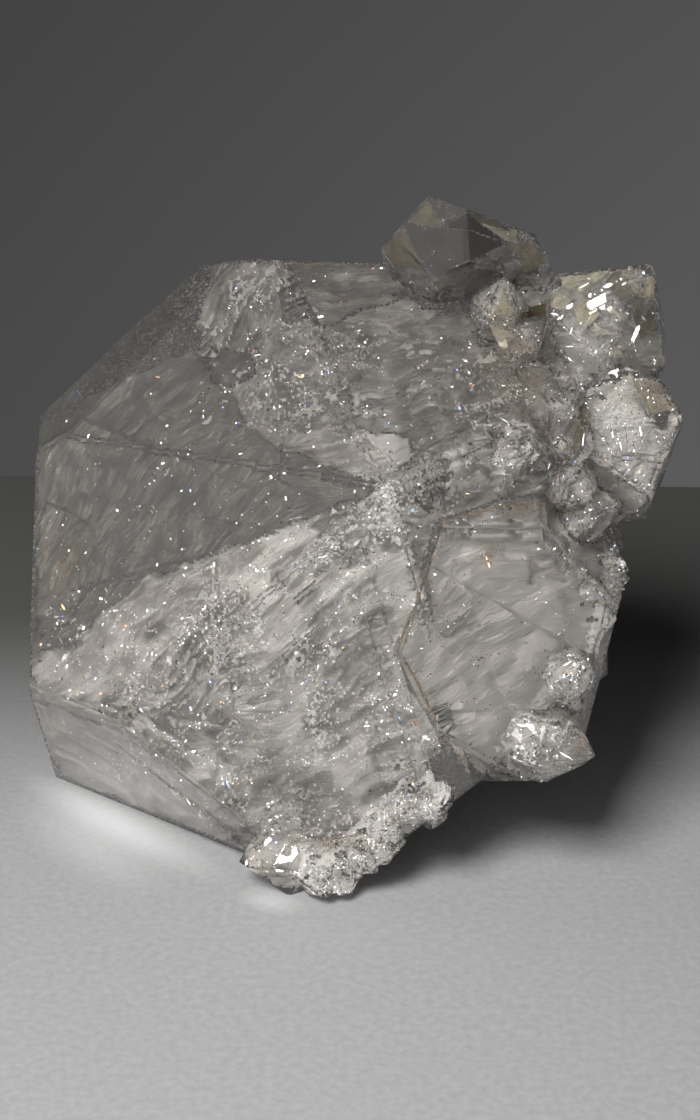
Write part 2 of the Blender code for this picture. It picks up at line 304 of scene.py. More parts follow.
# Bands of silver streaks and sparkles: centre, half length, half width, rise in degrees, amount.
BANDS = (
    ((300, 400), 90, 20, -6, 0.8),
    ((430, 350), 110, 16, -8, 0.7),
    ((395, 395), 100, 12, 10, 0.7),
    ((235, 305), 60, 18, 60, 0.9),
    ((515, 478), 55, 16, 12, 1.0),
    ((390, 530), 60, 16, 25, 1.0),
    ((330, 640), 90, 16, 38, 0.8),
    ((210, 600), 80, 14, 42, 0.7),
    ((215, 690), 80, 20, 30, 0.8),
    ((400, 740), 30, 40, 50, 0.8),
    ((275, 820), 45, 14, 15, 1.0),
    ((165, 780), 60, 7, -48, 1.0),
    ((66, 630), 24, 30, 60, 0.9),
    ((180, 450), 90, 16, 55, 0.5),
    ((472, 658), 14, 9, 0, 0.9),
    ((568, 680), 28, 30, 30, 0.9),
    ((548, 752), 45, 30, 20, 0.8),
)
# The amount outside the bands, and how the bands wander: how far, over what length in pixels, and
# the seed for each pixel that a band stands to the right.
BAND_LEAST = 0.12
BAND_WANDER = (10, 40, 0.37)
# The way the streaks run, as the nearest of these pixels says, in degrees above the horizontal.
FLOW = (
    ((330, 310), 4), ((420, 420), 14), ((110, 500), 58), ((160, 380), 45), ((300, 630), 36),
    ((150, 650), 42), ((300, 790), 22), ((130, 770), -35), ((235, 300), 62),
)
# The seams where crystals meet, as lines of pixels, with how many clay grains lie along each.
SEAMS = {
    "side_top": (((555, 500), (500, 508), (443, 520)), 420),
    "side_left": (((443, 520), (430, 565), (412, 615), (397, 652)), 800),
    "side_low": (((397, 652), (412, 672), (425, 695), (434, 720), (440, 742), (470, 762)), 520),
    "upper": (((402, 268), (440, 283), (478, 300), (515, 336), (548, 400), (553, 440)), 300),
    "top_edge": (((270, 264), (320, 264), (385, 264)), 260),
    "druse": (((300, 842), (340, 838), (385, 830), (430, 790)), 260),
}
SEAM_SPREAD = 0.6

# ---- maps

# The maps' first and last pixels and their step.
MAP_COLUMNS = (20, 700)
MAP_ROWS = (190, 920)
MAP_STEP = 2.0
# How far the streaks bend from their way and over what length, in pixels, and the noises' seeds;
# and the same for the zones' edges.
BEND = (14.0, 55.0, (71.5, 75.5))
WANDER = (7.0, 22, (2.5, 8.5))
# Clouds, (share, size in pixels, seed), and streaks, (share, length, width, seed), and how much
# they change a zone's density and its lightness.
CLOUDS = ((0.6, 45, 31.5), (0.5, 18, 35.5))
STREAKS = ((0.7, 44, 9, 11.5), (0.5, 16, 4, 13.5))
DENSITY_CHANGE = (0.5, 0.35)
LIGHT_CHANGE = (0.34, 0.18)
# The streaks that sparkles gather in.
STREAK_MIDDLE = 0.5
SPARKLE_STREAKS = ((0.9, 44, 9, 11.5), (0.5, 16, 4, 13.5))
STREAK_LIMITS = (0.05, 1.6)
# There are no fractures where the density is less than this.
NO_FRACTURES = 0.02
# How many places on each side of a place set its ray right.
NEIGHBOURS = 2

# ---- veils, ribbons and plates

# A veil is torn where its neighbouring points are further apart than this, in millimetres.
VEIL_TEAR = 2.0
# A veil's ripples, in pixels, and the drop in millimetres for which they have their full height.
VEIL_RIPPLES = ((1.2, 60, 30, 0), (0.6, 22, 13, 2.2))
VEIL_RIPPLE_DROP = 9.0
# The nearest a veil comes to the surface along a ray, the least quartz round it, and the thinnest
# quartz that holds a veil, in millimetres.
VEIL_NEAREST = 0.6
VEIL_MARGIN = 0.1
THINNEST = 0.8
# Streaks of the veil: (length, width) in mm, the noise they start and are full at, the most they
# cover, and their colour.
VEIL_STREAKS = (
    ((2.6, 0.6), 0.55, 0.76, 0.34, (255, 253, 250)),
    ((0.9, 0.45), 0.56, 0.76, 0.36, (255, 253, 250)),
    ((2.0, 1.3), 0.45, 0.26, 0.23, (76, 72, 67)),
    ((0.6, 0.5), 0.46, 0.24, 0.16, (90, 85, 80)),
)
# Patches where a veil's streaks are strong: the middle, share, size in pixels and seed of their
# noise, and the least that is left of the streaks elsewhere.
PATCH_MIDDLE = 0.55
PATCH_SHARE = 1.3
PATCH_SIZE = 34
PATCH_SEED = 60
PATCH_LEAST = 0.12

# A sheet's jitter in map steps, the chance and depth in millimetres it has at least, and how far
# apart its neighbouring points are at most, in millimetres.
SHEET_JITTER = 0.4
SHEET_LEAST_CHANCE = 0.01
SHEET_NEAREST = 0.5
SHEET_TEAR = 1.2
# Ribbons: depth in mm at the middle pixel, how it grows to the right and down, and seed; the noises
# they follow, in pixels; and how wide they are, with the shares that the haze and the bands have.
RIBBONS = ((1.3, 0.001, 0.002, 1.5), (3.0, -0.003, 0.002, 21.5), (5.0, 0.003, -0.003, 43.5))
RIBBON_MIDDLE = (290, 560)
RIBBON_LINES = ((1.0, 46, 11, 0), (0.25, 14, 5, 2.2))
RIBBON_RIPPLES = ((0.7, 110, 30, 3.3), (0.3, 40, 12, 5.1))
RIBBON_WIDTH = 0.11
RIBBON_HAZE = 0.3
RIBBON_BANDS = 0.9
# Plates: how many, how grainy it is where they are kept, how far they turn from the streaks, their
# half length and fading width in pixels, bend, and wander: how far, over what length, and the seed
# for each place's number.
PLATES = 70
PLATE_GRAIN = 0.45
PLATE_TURN = 0.7
PLATE_HALF_LENGTHS = (12, 60)
PLATE_FADES = (6, 24)
PLATE_BEND = 0.006
PLATE_WANDER = (5, 25, 0.01)
# A plate's crisp edge in pixels, the shares kept at that edge and behind it, how much lighter it is
# than its zone, the share of silky cells, its tilt and depths in millimetres and its least chance.
PLATE_EDGE = 2.2
PLATE_SHARES = (0.95, 0.6)
PLATE_LIGHTER = (0.05, 0.35)
PLATE_SILKY = 0.04
PLATE_TILT = 0.02
PLATE_DEPTHS = (1.0, 6.0)
PLATE_LEAST_CHANCE = 0.03

# ---- flakes

# Outlines, as corners along and across, and how far a corner may come in or stand out.
FOUR_CORNERS = ((1, 0.15), (0.1, 1), (-1, -0.1), (-0.15, -1))
THREE_CORNERS = ((1, 0.2), (-0.6, 0.9), (-0.5, -1))
FLAKE_REACH = (0.6, 1.15)
# How many more places are drawn than flakes are wanted, since some rays miss.
SPARE_PICKS = 1.3
# How much levels mix, lengths over widths, how far haze flakes turn (least, more where it is
# grainy), and the share of mirror-like ones among them.
MIXING = 0.07
HAZE_SLIMNESS = (1.2, 3.0)
HAZE_TURN = (0.1, 0.3)
HAZE_GLINTS = 0.015
# A face turned less than this towards the camera gets flakes from haze_all_round, at first few.
HIDDEN_FROM_CAMERA = 0.12
HIDDEN_FADE = 0.2
# Behind the clear windows, where the fractures are thinner than this, only a share of them stays.
WINDOW_DENSITY = 0.45
WINDOW_KEPT = 0.1
# The lightness of those flakes, and how it varies: (share, how many times in a metre).
HIDDEN_LIGHT = 0.72
HIDDEN_CLOUDS = ((0.45, 60.0), (0.3, 220.0))
HIDDEN_TURN = 0.25
HIDDEN_GLINTS = 0.004
# Below these draws from 0 to 1 a sparkle is silver, blue or orange.
SPARKLE_COLOURS = (0.92, 0.965, 1.0)
SPARKLE_SLIMNESS = (1.5, 4.0)
CLAY_DEPTHS = (0.06, 0.3)
CLAY_LENGTHS = (0.12, 0.42)
CLAY_SLIMNESS = (1.0, 2.2)
CLAY_TURN = 0.3


def linear(red, green, blue):
    """An sRGB colour given as 0-255 numbers, in linear light, with alpha 1."""
    parts = []
    for value in (red, green, blue):
        share = value / 255
        parts.append(share / 12.92 if share <= 0.04045 else ((share + 0.055) / 1.055) ** 2.4)
    return (*parts, 1.0)


# ---- shader nodes

def fill(graph, node, inputs):
    """Gives each input its value, or a link from a socket."""
    for key, value in inputs.items():
        if isinstance(value, bpy.types.NodeSocket):
            graph.links.new(value, node.inputs[key])
        else:
            node.inputs[key].default_value = value


def add_node(graph, kind, inputs, **settings):
    """A shader node with its settings and inputs."""
    node = graph.nodes.new("ShaderNode" + kind)
    for name, value in settings.items():
        setattr(node, name, value)
    fill(graph, node, inputs)
    return node


def object_place(graph):
    """The place in the object's own frame."""
    return add_node(graph, "TexCoord", {}).outputs["Object"]


def vector_math(graph, operation, *inputs):
    """The vector, or for a length, distance or dot product the number, that an operation gives."""
    node = add_node(graph, "VectorMath", dict(enumerate(inputs)), operation=operation)
    return node.outputs["Value" if operation in ("LENGTH", "DISTANCE", "DOT_PRODUCT") else "Vector"]


def number_math(graph, operation, *inputs):
    node = add_node(graph, "Math", dict(enumerate(inputs)), operation=operation)
    return node.outputs["Value"]


def ranged(graph, value, start, end, low, high, interpolation="LINEAR"):
    """A value moved from one range to another and kept inside it."""
    inputs = {"Value": value, "From Min": start, "From Max": end, "To Min": low, "To Max": high}
    return add_node(graph, "MapRange", inputs, interpolation_type=interpolation).outputs["Result"]


def mixed(graph, factor, first, second):
    """The colour between two, each a socket or a colour."""
    inputs = {"Factor": factor, "A": first, "B": second}
    return add_node(graph, "Mix", inputs, data_type="RGBA").outputs["Result"]


def ramp_of(graph, factor, first, last):
    """A colour ramp with its first and last stop, each (position, colour)."""
    ramp = add_node(graph, "ValToRGB", {"Fac": factor})
    for stop, (position, colour) in zip(ramp.color_ramp.elements, (first, last)):
        stop.position = position
        stop.color = colour
    return ramp


def new_material(name):
    """A material, its node graph and its shader."""
    material = bpy.data.materials.new(name)
    material.use_nodes = True
    return material, material.node_tree, material.node_tree.nodes["Principled BSDF"]


# ---- camera, floor and light

def placed(name, data):
    """A new object of the scene."""
    thing = bpy.data.objects.new(name, data)
    bpy.context.scene.collection.objects.link(thing)
    return thing


def make_camera():
    data = bpy.data.cameras.new("camera")
    data.sensor_fit = "VERTICAL"
    data.sensor_height = SENSOR_HEIGHT
    data.lens = FOCAL_PIXELS / PHOTO_HEIGHT * SENSOR_HEIGHT
    data.clip_start = 0.001
    data.clip_end = 20.0
    camera = placed("camera", data)
    camera.location = CAMERA_PLACE
    camera.rotation_euler = (math.pi / 2 - CAMERA_PITCH, 0, 0)
    bpy.context.scene.camera = camera


def area_lamp(name, place, aim, size, power, colour):
    data = bpy.data.lights.new(name, "AREA")
    data.shape = "RECTANGLE"
    data.size, data.size_y = size
    data.energy = power
    data.color = colour
    lamp = placed(name, data)
    lamp.location = place
    lamp.rotation_euler = (aim - place).to_track_quat("-Z", "Y").to_euler()


def on_floor(px, py):
    """The place on the floor that a pixel shows."""
    ray = pixel_direction(px, py)
    return CAMERA_PLACE - ray * (CAMERA_PLACE.z / ray.z)


def floor_material():
    """Pale paper with painted shade towards the wall and painted light that the quartz throws on it."""
    material, graph, shader = new_material("paper")
    place = object_place(graph)
    grain = add_node(graph, "TexNoise", {"Vector": place, "Scale": 900.0, "Detail": 4.0})
    stops = [(position, linear(*shade)) for position, shade in FLOOR_SHADES]
    paper = ramp_of(graph, grain.outputs["Fac"], *stops)
    split = add_node(graph, "SeparateXYZ", {"Vector": place})
    # Painted shade: the paper darkens towards the wall, standing in for the lamp's light falling off.
    far = ranged(graph, split.outputs["Y"], *FLOOR_PAINTED_SHADE, 0.0, 1.0, "SMOOTHSTEP")
    colour = mixed(graph, far, paper.outputs["Color"], linear(*FLOOR_PAINTED_SHADE_COLOUR))
    # Painted light: bright patches where the quartz gathers the lamp's light on the floor.
    for start, end, half_wide, strength in PAINTED_FLOOR_CAUSTICS:
        first, last = (on_floor(*pixel) for pixel in (start, end))
        along = last - first
        offset = vector_math(graph, "SUBTRACT", place, (first + last) / 2)
        inputs = {"Vector": offset, "Angle": -math.atan2(along.y, along.x)}
        turned = add_node(graph, "VectorRotate", inputs, rotation_type="Z_AXIS")
        shrink = (2 / along.length, 1 / (half_wide * MM), 0.0)
        shrunk = vector_math(graph, "MULTIPLY", turned.outputs["Vector"], shrink)
        distance = vector_math(graph, "LENGTH", shrunk)
        share = ranged(graph, distance, 0.0, 1.0, strength, 0.0, "SMOOTHSTEP")
        colour = mixed(graph, share, colour, linear(*PAINTED_CAUSTIC_COLOUR))
    fill(graph, shader, {"Base Color": colour, "Roughness": 0.75})
    return material


def make_stage():
    """A floor that ends where the photograph's floor meets its wall."""
    front = -2 * FLOOR_HALF
    corners = [(-FLOOR_HALF, front), (FLOOR_HALF, front), (FLOOR_HALF, 0), (-FLOOR_HALF, 0)]
    turn = Matrix.Rotation(FLOOR_TURN, 3, "Z")
    points = [turn @ Vector((x, y, 0)) + Vector((0, FLOOR_BACK, 0)) for x, y in corners]
    mesh = bpy.data.meshes.new("floor")
    mesh.from_pydata(points, [], [(0, 1, 2, 3)])
    mesh.materials.append(floor_material())
    floor = placed("floor", mesh)


def make_world():
    """A dim grey room: lighter low down and to the right, as the photograph's wall is."""
    world = bpy.data.worlds.new("surround")
    world.use_nodes = True
    graph = world.node_tree
    way = add_node(graph, "TexCoord", {}).outputs["Generated"]
    split = add_node(graph, "SeparateXYZ", {"Vector": way})
    height = number_math(graph, "MULTIPLY_ADD", split.outputs["Z"], 0.5, 0.5)
    greys = [(position, (value, value, value, 1)) for position, value in WALL_STOPS]
    rise = ramp_of(graph, height, greys[0], greys[-1])
    for position, grey in greys[1:-1]:
        rise.color_ramp.elements.new(position).color = grey
    side = ranged(graph, split.outputs["X"], *WALL_SIDE)
    inputs = {"Vector": rise.outputs["Color"], "Scale": side}
    light = add_node(graph, "VectorMath", inputs, operation="SCALE")
    graph.links.new(light.outputs["Vector"], graph.nodes["Background"].inputs["Color"])
    bpy.context.scene.world = world


# ---- places inside the quartz

def pixel_direction(px, py):
    """The direction from the camera through a pixel of the photograph."""
    right = (px - PHOTO_WIDTH / 2) / FOCAL_PIXELS
    down = (py - PHOTO_HEIGHT / 2) / FOCAL_PIXELS
    return (FORWARD + RIGHTWARD * right - UPWARD * down).normalized()


def refracted(direction, normal, ratio):
    """A unit direction bent at a surface, where ratio is the first IOR over the second."""
    facing = -direction.dot(normal)
    under_root = 1 - ratio * ratio * (1 - facing * facing)
    return direction * ratio + normal * (ratio * facing - math.sqrt(under_root))


def entry(direction):
    """Where a ray from the camera meets the quartz, the normal there and its direction inside."""
    hit, normal, _, _ = quartz_tree.ray_cast(CAMERA_PLACE, direction)
    if hit is None:
        return None
    if normal.dot(direction) > 0:
        normal = -normal
    return hit, normal, refracted(direction, normal, 1 / QUARTZ_IOR)


def far_side(hit, inward):
    """Where a ray that has entered at hit meets the surface again, or None."""
    return quartz_tree.ray_cast(hit + inward * STEP_IN, inward)[0]


def beneath(direction, depth):
    """Where a ray is after depth metres in the quartz, or None if it has left or is about to."""
    met = entry(direction)
    if met is None:
        return None
    hit, _, inward = met
    far = far_side(hit, inward)
    if far is None or (far - hit).length < depth + FAR_MARGIN * MM:
        return None
    return hit + inward * depth


def mirror_way(direction):
    """The way a mirror inside the quartz faces when it sends the key light along a ray."""
    _, normal, inward = entry(direction)
    light = -TOWARD_KEY
    if light.dot(normal) < KEY_GRAZES:
        light = refracted(light, normal, 1 / QUARTZ_IOR)
    return (-inward - light).normalized()


def is_inside(point, margin):
    """True if a point is in the quartz, at least margin metres under its surface."""
    near, normal, _, distance = quartz_tree.find_nearest(point)
    return near is not None and distance >= margin and (point - near).dot(normal) < 0


# ---- materials

def shade_noise(graph, scale, low, high):
    """A noise that runs from one value to another, for a roughness or a shade."""
    texture = add_node(graph, "TexNoise", {"Vector": object_place(graph), "Scale": scale, "Detail": 3.0})
    return ranged(graph, texture.outputs["Fac"], *NOISE_MIDDLE, low, high)


def region_mask(graph, position, regions):
    """A value that is each region's strength inside its sphere and fades out round it."""
    total = None
    for centre, radius, strength in regions:
        distance = vector_math(graph, "DISTANCE", position, Vector(centre) * MM)
        edge = (radius * MM, (radius + REGION_EDGE) * MM)
        share = ranged(graph, distance, *edge, strength, 0.0)
        total = share if total is None else number_math(graph, "MAXIMUM", total, share)
    return total


def mosaic_height(graph, position, cell):
    """A height in millimetres whose slope is constant in each cell and differs between cells."""
    inputs = {"Vector": position, "Scale": 1 / (cell * MM)}
    scaled = add_node(graph, "VectorMath", inputs, operation="SCALE").outputs["Vector"]
    cells = add_node(graph, "TexVoronoi", {"Vector": scaled, "Scale": 1.0})
    offset = vector_math(graph, "SUBTRACT", scaled, cells.outputs["Position"])
    tilt = vector_math(graph, "SUBTRACT", cells.outputs["Color"], (0.5, 0.5, 0.5))
    return vector_math(graph, "DOT_PRODUCT", offset, tilt)


def quartz_material():
    material, graph, shader = new_material("quartz_clear")
    shader.inputs["Base Color"].default_value = QUARTZ_TINT
    shader.inputs["IOR"].default_value = QUARTZ_IOR
    shader.inputs["Transmission Weight"].default_value = QUARTZ_TRANSMISSION
    position = object_place(graph)
    slope = ranged(graph, region_mask(graph, position, FACETED), 0.0, 1.0, PLAIN_SLOPE, MOSAIC_SLOPE)
    fine = mosaic_height(graph, position, FINE_MOSAIC_CELL)
    fine_share = FINE_MOSAIC_CELL / MOSAIC_CELL * FINE_MOSAIC_SHARE
    coarse = mosaic_height(graph, position, MOSAIC_CELL)
    both = number_math(graph, "MULTIPLY_ADD", fine, fine_share, coarse)
    height = number_math(graph, "MULTIPLY", both, slope)
    bump = add_node(graph, "Bump", {"Strength": 1.0, "Distance": MOSAIC_CELL * MM, "Height": height})
    rough = shade_noise(graph, QUARTZ_NOISE, *QUARTZ_ROUGHNESS)
    fill(graph, shader, {"Roughness": rough, "Normal": bump.outputs["Normal"]})
    return material


def flake_material(name, dark, light, metallic, roughness):
    """Frosty or mirror-like flakes, with shades that vary from one to the next."""
    material, graph, shader = new_material(name)
    colour = mixed(graph, shade_noise(graph, FLAKE_NOISE, 0.0, 1.0), linear(*dark), linear(*light))
    fill(graph, shader, {"Base Color": colour, "Metallic": metallic, "Roughness": roughness})
    return material


def veil_material():
    """A milky veil: its own tone, with bright wisps and dim gaps drawn out along the flow."""
    material, graph, shader = new_material("veil")
    tone, rough, place = (add_node(graph, "Attribute", {}, attribute_name=name)
                          for name in ("tone", "grain", "flow_place"))
    colour = tone.outputs["Color"]
    relief = None
    for (long, wide), start, full, most, shade in VEIL_STREAKS:
        inputs = {"Vector": place.outputs["Vector"], "Scale": (1 / long, 1 / wide, 1.0),
                  "Location": (0.0, 0.0, long + wide)}
        scaled = add_node(graph, "Mapping", inputs).outputs["Vector"]
        inputs = {"Vector": scaled, "Scale": 1.0, "Detail": 3.0, "Distortion": 0.7}
        texture = add_node(graph, "TexNoise", inputs).outputs["Fac"]
        covered = ranged(graph, texture, start, full, 0.0, most)
        share = number_math(graph, "MULTIPLY", covered, rough.outputs["Fac"])
        colour = mixed(graph, share, colour, linear(*shade))
        if relief is None:
            relief = texture
    bump = add_node(graph, "Bump", {"Strength": 0.7, "Distance": 0.5 * MM, "Height": relief})
    fill(graph, shader, {"Base Color": colour, "Normal": bump.outputs["Normal"],
                         "Roughness": 0.4, "Metallic": 0.15})
    return material


# ---- maps over the photograph

map_x, map_y = np.meshgrid(np.arange(*MAP_COLUMNS, MAP_STEP), np.arange(*MAP_ROWS, MAP_STEP))


def noise_map(right, down, seed):
    """Noise from about -1 to 1 at every place of the map, for coordinates given as arrays."""
    values = [noise.noise((a, b, seed)) for a, b in zip(right.ravel(), down.ravel())]
    return np.array(values).reshape(right.shape)


def cloud_map(*layers):
    """Noise in layers, each (share, size in pixels, seed)."""
    return sum(share * noise_map(map_x / size, map_y / size, seed) for share, size, seed in layers)


def streak_map(layers, seed=0):
    """Noise stretched along the streaks in layers, each (share, length, width, more seed)."""
    return sum(share * noise_map(flow_along / length, flow_across / width, seed + more)
               for share, length, width, more in layers)


def turned(right, down, rise):
    """How far along and across a direction places are, from how far to the right and down."""
    return right * np.cos(rise) - down * np.sin(rise), right * np.sin(rise) + down * np.cos(rise)


def bent(far, length, seeds):
    """The map's two coordinates, moved about by noise."""
    return [axis + cloud_map((far, length, seed)) for axis, seed in zip((map_x, map_y), seeds)]


def strayed(along, across, far, length, seed):
    """The distances across a direction, moved about by noise."""
    return across + far * noise_map(along / length, across / length, seed)


def flow_map():
    """The way the streaks run at every place of the map, in radians above the horizontal."""
    distances = [(map_x - x) ** 2 + (map_y - y) ** 2 for (x, y), _ in FLOW]
    return np.radians([rise for _, rise in FLOW])[np.argmin(distances, axis=0)]


def polygon_map(polygon, right, down):
    """True where a place of the map is inside a polygon of pixels."""
    inside = np.zeros(right.shape, dtype=bool)
    for (x0, y0), (x1, y1) in zip(polygon, polygon[1:] + polygon[:1]):
        if y0 != y1:
            crossing = x1 + (down - y1) * (x0 - x1) / (y0 - y1)
            inside ^= ((y1 > down) != (y0 > down)) & (right < crossing)
    return inside


def zone_maps(zones):
    """How dense, how light and how grainy the fractures are over the zones, each from 0 to 1."""
    right, down = bent(*WANDER)
    density, lightness, grain = (np.zeros(map_x.shape) for _ in range(3))
    for polygon, amount, light, rough in zones.values():
        inside = polygon_map(polygon, right, down)
        density[inside] = amount
        lightness[inside] = light
        grain[inside] = rough
    cloud = cloud_map(*CLOUDS)
    streak = streak_map(STREAKS)
    cloud_share, streak_share = DENSITY_CHANGE
    density = np.clip(density * (1 + grain * (cloud_share * cloud + streak_share * streak)), 0, 1)
    cloud_share, streak_share = LIGHT_CHANGE
    lightness = np.clip(lightness + grain * (cloud_share * cloud + streak_share * streak), 0, 1)
    return density, lightness, grain


def band_map():
    """Where the bands of silver streaks are, from 0 to 1."""
    total = np.full(map_x.shape, BAND_LEAST)
    far, length, seed_step = BAND_WANDER
    for (at_x, at_y), half_long, half_wide, rise, amount in BANDS:
        along, across = turned(map_x - at_x, map_y - at_y, math.radians(rise))
        across = strayed(along, across, far, length, at_x * seed_step)
        total += amount * np.exp(-((along / half_long) ** 2) - (across / half_wide) ** 2)
    return np.clip(total, 0, 1) * (density > NO_FRACTURES)


def stain_map():
    """How brown the quartz is stained, from 0 to 1."""
    total = np.zeros(map_x.shape)
    for (at_x, at_y), half_wide, half_high, _ in STAINS:
        total += np.exp(-((map_x - at_x) / half_wide) ** 2 - ((map_y - at_y) / half_high) ** 2)
    return np.clip(total * (STAIN_MIDDLE + cloud_map(STAIN_EDGE)), 0, 1)


def crossing_maps():
    """Where each pixel's ray enters, its way inside, and how far it goes, in millimetres."""
    hits = np.zeros((*map_x.shape, 3))
    ways = np.zeros((*map_x.shape, 3))
    spans = np.zeros(map_x.shape)
    for row, column in np.argwhere((density > 0) | (small_density > 0)):
        met = entry(pixel_direction(map_x[row, column], map_y[row, column]))
        if met is not None:
            hit, _, inward = met
            far = far_side(hit, inward)
            hits[row, column] = hit
            ways[row, column] = inward
            spans[row, column] = 0 if far is None else (far - hit).length / MM
    # The narrow faces of growth steps send single rays astray, which the neighbours put right.
    reach = range(-NEIGHBOURS, NEIGHBOURS + 1)
    shifts = [(down, right) for down in reach for right in reach]
    spans = np.median([np.roll(spans, shift, axis=(0, 1)) for shift in shifts], axis=0)
    ways = np.median([np.roll(ways, shift, axis=(0, 1)) for shift in shifts], axis=0)
    lengths = np.linalg.norm(ways, axis=-1, keepdims=True)
    return hits, ways / np.maximum(lengths, TINY), spans


# ---- pieces

def mesh_piece(name, vertices, faces, materials, slots, smooth=False):
    """A piece of the body, made of faces with the numbers of their materials."""
    mesh = bpy.data.meshes.new(name)
    mesh.from_pydata(vertices, [], faces)
    for material in materials:
        mesh.materials.append(material)
    mesh.polygons.foreach_set("material_index", np.array(slots, dtype=np.int32))
    if smooth:
        mesh.shade_smooth()
    mesh.validate()
    piece = placed(name, mesh)
    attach(piece, BODY)
    return mesh


def unit(vectors):
    return vectors / np.linalg.norm(vectors, axis=1, keepdims=True)


def flake_piece(name, centres, normals, sizes, slots, materials, outline, grain=None):
    """A piece made of small flat flakes, each with an irregular outline."""
    count = len(centres)
    normals = unit(np.array(normals))
    if grain is None:
        grain = random_numbers.normal(size=(count, 3))
    along = unit(np.cross(np.cross(normals, grain), normals) + TINY)
    across = np.cross(normals, along)
    half_long, half_wide = np.reshape(sizes, (2, count, 1)) / 2
    corners = []
    for sign_along, sign_across in outline:
        reach = random_numbers.uniform(*FLAKE_REACH, (count, 1))
        offset = along * (sign_along * half_long) + across * (sign_across * half_wide)
        corners.append(np.array(centres) + offset * reach)
    vertices = np.stack(corners, axis=1).reshape(-1, 3)
    faces = np.arange(len(vertices)).reshape(count, -1)
    mesh_piece(name, vertices, faces, materials, slots)


def tilted(normals, spread):
    """Normals turned at random by about spread radians."""
    return np.array(normals) + random_numbers.normal(size=(len(normals), 3)) * spread


def drawn_sizes(lengths, slimness, count):
    """Lengths and widths in metres, drawn between the limits given."""
    length = random_numbers.uniform(*lengths, count) * MM
    return length, length / random_numbers.uniform(*slimness, count)


def level_at(light, mixing):
    """The number of the haze material for a lightness from 0 to 1, a little mixed."""
    mixed_light = light + random_numbers.normal(size=np.shape(light)) * mixing
    return np.clip(np.round(mixed_light * (LEVELS - 1)), 0, LEVELS - 1).astype(int)


def scattered(weights, count, depths):
    """Pixels and the points under them, denser where the weights are higher, at depths in mm."""
    chances = weights.ravel() / weights.sum()
    picks = random_numbers.choice(chances.size, size=int(count * SPARE_PICKS), p=chances)
    right = map_x.ravel()[picks] + random_numbers.uniform(-1, 1, picks.size) * MAP_STEP / 2
    down = map_y.ravel()[picks] + random_numbers.uniform(-1, 1, picks.size) * MAP_STEP / 2
    deep = random_numbers.uniform(*depths, picks.size) * MM
    points = []
    kept = []
    for number, (px, py, depth) in enumerate(zip(right, down, deep)):
        point = beneath(pixel_direction(px, py), depth)
        if point is not None:
            points.append(point)
            kept.append(number)
    kept = kept[:count]
    return points[:count], right[kept], down[kept], picks[kept]


def cell_corners(index):
    """The four vertices of every cell of the map, where index has each place's vertex or -1."""
    return np.stack([index[:-1, :-1], index[1:, :-1], index[1:, 1:], index[:-1, 1:]], axis=-1)


def sheets(name, layers, materials):
    """Sheets inside the quartz, one for each (chance a cell is kept, depth in mm, slot) of maps."""
    vertices = []
    faces = []
    slots = []
    for chance, deep, slot_map in layers:
        index = np.full(map_x.shape, -1)
        jitter = random_numbers.uniform(-SHEET_JITTER, SHEET_JITTER, (2, *map_x.shape)) * MAP_STEP
        for row, column in np.argwhere(chance > SHEET_LEAST_CHANCE):
            px = map_x[row, column] + jitter[0, row, column]
            py = map_y[row, column] + jitter[1, row, column]
            point = beneath(pixel_direction(px, py), max(deep[row, column], SHEET_NEAREST) * MM)
            if point is not None:
                index[row, column] = len(vertices)
                vertices.append(point)
        ring = cell_corners(index)
        drawn = random_numbers.uniform(size=ring.shape[:2]) < chance[:-1, :-1]
        kept = (ring >= 0).all(axis=-1) & drawn
        for corners, slot in zip(ring[kept].tolist(), slot_map[:-1, :-1][kept].tolist()):
            sides = zip(corners, corners[1:] + corners[:1])
            if max((vertices[a] - vertices[b]).length for a, b in sides) < SHEET_TEAR * MM:
                faces.append(corners)
                slots.append(slot)
    mesh_piece(name, vertices, faces, materials, slots, smooth=True)


def ribbon_layer(depth, slope_right, slope_down, seed, keep_width):
    """What is left of a rippled fracture sheet along its streaks: thin wavy ribbons."""
    lines = np.abs(streak_map(RIBBON_LINES, seed))
    ripple = streak_map(RIBBON_RIPPLES, seed)
    middle_x, middle_y = RIBBON_MIDDLE
    deep = depth + (map_x - middle_x) * slope_right + (map_y - middle_y) * slope_down + ripple
    return (lines < keep_width).astype(float), deep, np.zeros(map_x.shape, dtype=int)


def plate_layer():
    """A fracture seen nearly face on: one crisp curved edge, fading away on its other side."""
    chances = density * grain
    pick = random_numbers.choice(density.size, p=(chances / chances.sum()).ravel())
    at_x, at_y = map_x.ravel()[pick], map_y.ravel()[pick]
    rise = flow_rises.ravel()[pick] + random_numbers.normal() * PLATE_TURN
    along, across = turned(map_x - at_x, map_y - at_y, rise)
    half_long = random_numbers.uniform(*PLATE_HALF_LENGTHS)
    fade = random_numbers.uniform(*PLATE_FADES)
    bend = random_numbers.normal() * PLATE_BEND
    far, length, seed_step = PLATE_WANDER
    across = bend * along ** 2 + strayed(along, across, far, length, pick * seed_step)
    past = across * random_numbers.choice((-1, 1))
    chance = (past > 0) * np.exp(-np.clip(past, 0, None) / fade - (along / half_long) ** 4)
    edge = past < PLATE_EDGE
    shares = np.where(edge, *PLATE_SHARES)
    chance = chance * shares * (density > NO_FRACTURES) * (grain > PLATE_GRAIN)
    light = np.clip(lightness + random_numbers.uniform(*PLATE_LIGHTER), 0, 1)
    silky = edge | (random_numbers.uniform(size=map_x.shape) < PLATE_SILKY)
    slot = np.where(silky, LEVELS, level_at(light, MIXING * grain))
    tilt_right, tilt_down = random_numbers.normal(size=2) * PLATE_TILT
    tilt = (map_x - at_x) * tilt_right + (map_y - at_y) * tilt_down
    deep = random_numbers.uniform(*PLATE_DEPTHS) + tilt
    return np.where(chance > PLATE_LEAST_CHANCE, chance, 0), deep, slot


